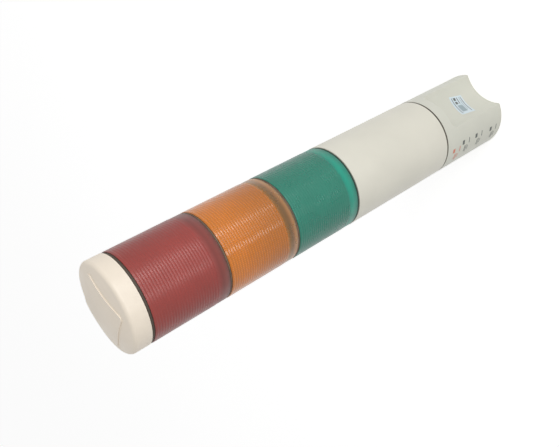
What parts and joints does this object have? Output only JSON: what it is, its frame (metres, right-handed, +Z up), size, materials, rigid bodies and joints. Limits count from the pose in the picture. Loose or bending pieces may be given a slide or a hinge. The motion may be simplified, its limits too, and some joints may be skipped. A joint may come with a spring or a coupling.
{
  "type": "stack light",
  "caption": "Round signal tower with red, amber and green ribbed lens tiers that twist off a plain tube, on a base with a hollow channel down one side.",
  "frame": {"origin": "centre of the flat lower end of the base", "axes": "+Z up the tower to the head cap, -Y out of the channel in the base, +X to the right of the channel"},
  "size_m": [0.06, 0.06, 0.352],
  "materials": {
    "base_plastic": "moulded ABS, satin warm grey",
    "tube_plastic": "moulded ABS, satin warm white",
    "cap_plastic": "moulded ABS, satin warm cream",
    "green_lens": "clear green polycarbonate",
    "amber_lens": "clear amber polycarbonate",
    "red_lens": "clear red polycarbonate",
    "dark_rubber": "matt dark rubber",
    "collar_plastic": "dark moulded nylon",
    "white_plastic": "white moulded ABS",
    "lamp_board": "white solder mask",
    "led_resin": "clear lamp resin",
    "brass": "plain brass",
    "steel": "zinc plated steel",
    "circuit_board": "green solder mask",
    "terminal_plastic": "green moulded nylon",
    "can_aluminium": "drawn aluminium can",
    "component_plastic": "black moulded plastic"
  },
  "bodies": {
    "base": {"base_housing": "base_plastic", "board_capacitors": "can_aluminium", "board_chip": "component_plastic", "board_plug": "component_plastic", "board_relays": "component_plastic", "body_tube": "tube_plastic", "control_board": "circuit_board", "mounting_inserts": "brass", "seam_gasket": "dark_rubber", "terminal_block": "terminal_plastic", "terminal_screws": "steel", "tube_clamp_plate": "white_plastic", "tube_collar": "tube_plastic", "tube_collar_screws": "steel", "tube_contact_tracks": "brass", "tube_gasket": "dark_rubber", "wiring_grommet": "dark_rubber"},
    "green_tier": {"green_collar": "collar_plastic", "green_collar_screws": "steel", "green_contact_pins": "brass", "green_contact_tracks": "brass", "green_gasket": "dark_rubber", "green_lamp_post": "white_plastic", "green_led_strips": "lamp_board", "green_leds": "led_resin", "green_lens": "green_lens"},
    "amber_tier": {"amber_collar": "collar_plastic", "amber_collar_screws": "steel", "amber_contact_pins": "brass", "amber_contact_tracks": "brass", "amber_gasket": "dark_rubber", "amber_lamp_post": "white_plastic", "amber_led_strips": "lamp_board", "amber_leds": "led_resin", "amber_lens": "amber_lens"},
    "red_tier": {"red_collar": "collar_plastic", "red_collar_screws": "steel", "red_contact_pins": "brass", "red_contact_tracks": "brass", "red_gasket": "dark_rubber", "red_lamp_post": "white_plastic", "red_led_strips": "lamp_board", "red_leds": "led_resin", "red_lens": "red_lens"},
    "cap": {"head_cap": "cap_plastic"}
  },
  "joints": [
    {"name": "green_twist", "type": "hinge", "parent": "base", "child": "green_tier", "pos_m": [0, 0, 0.1696], "axis": [0, 0, 1], "range_deg": [0, 30]},
    {"name": "amber_twist", "type": "hinge", "parent": "green_tier", "child": "amber_tier", "pos_m": [0, 0, 0.2249], "axis": [0, 0, 1], "range_deg": [0, 30]},
    {"name": "red_twist", "type": "hinge", "parent": "amber_tier", "child": "red_tier", "pos_m": [0, 0, 0.2802], "axis": [0, 0, 1], "range_deg": [0, 30]},
    {"name": "cap_twist", "type": "hinge", "parent": "red_tier", "child": "cap", "pos_m": [0, 0, 0.3361], "axis": [0, 0, 1], "range_deg": [0, 30]}
  ]
}
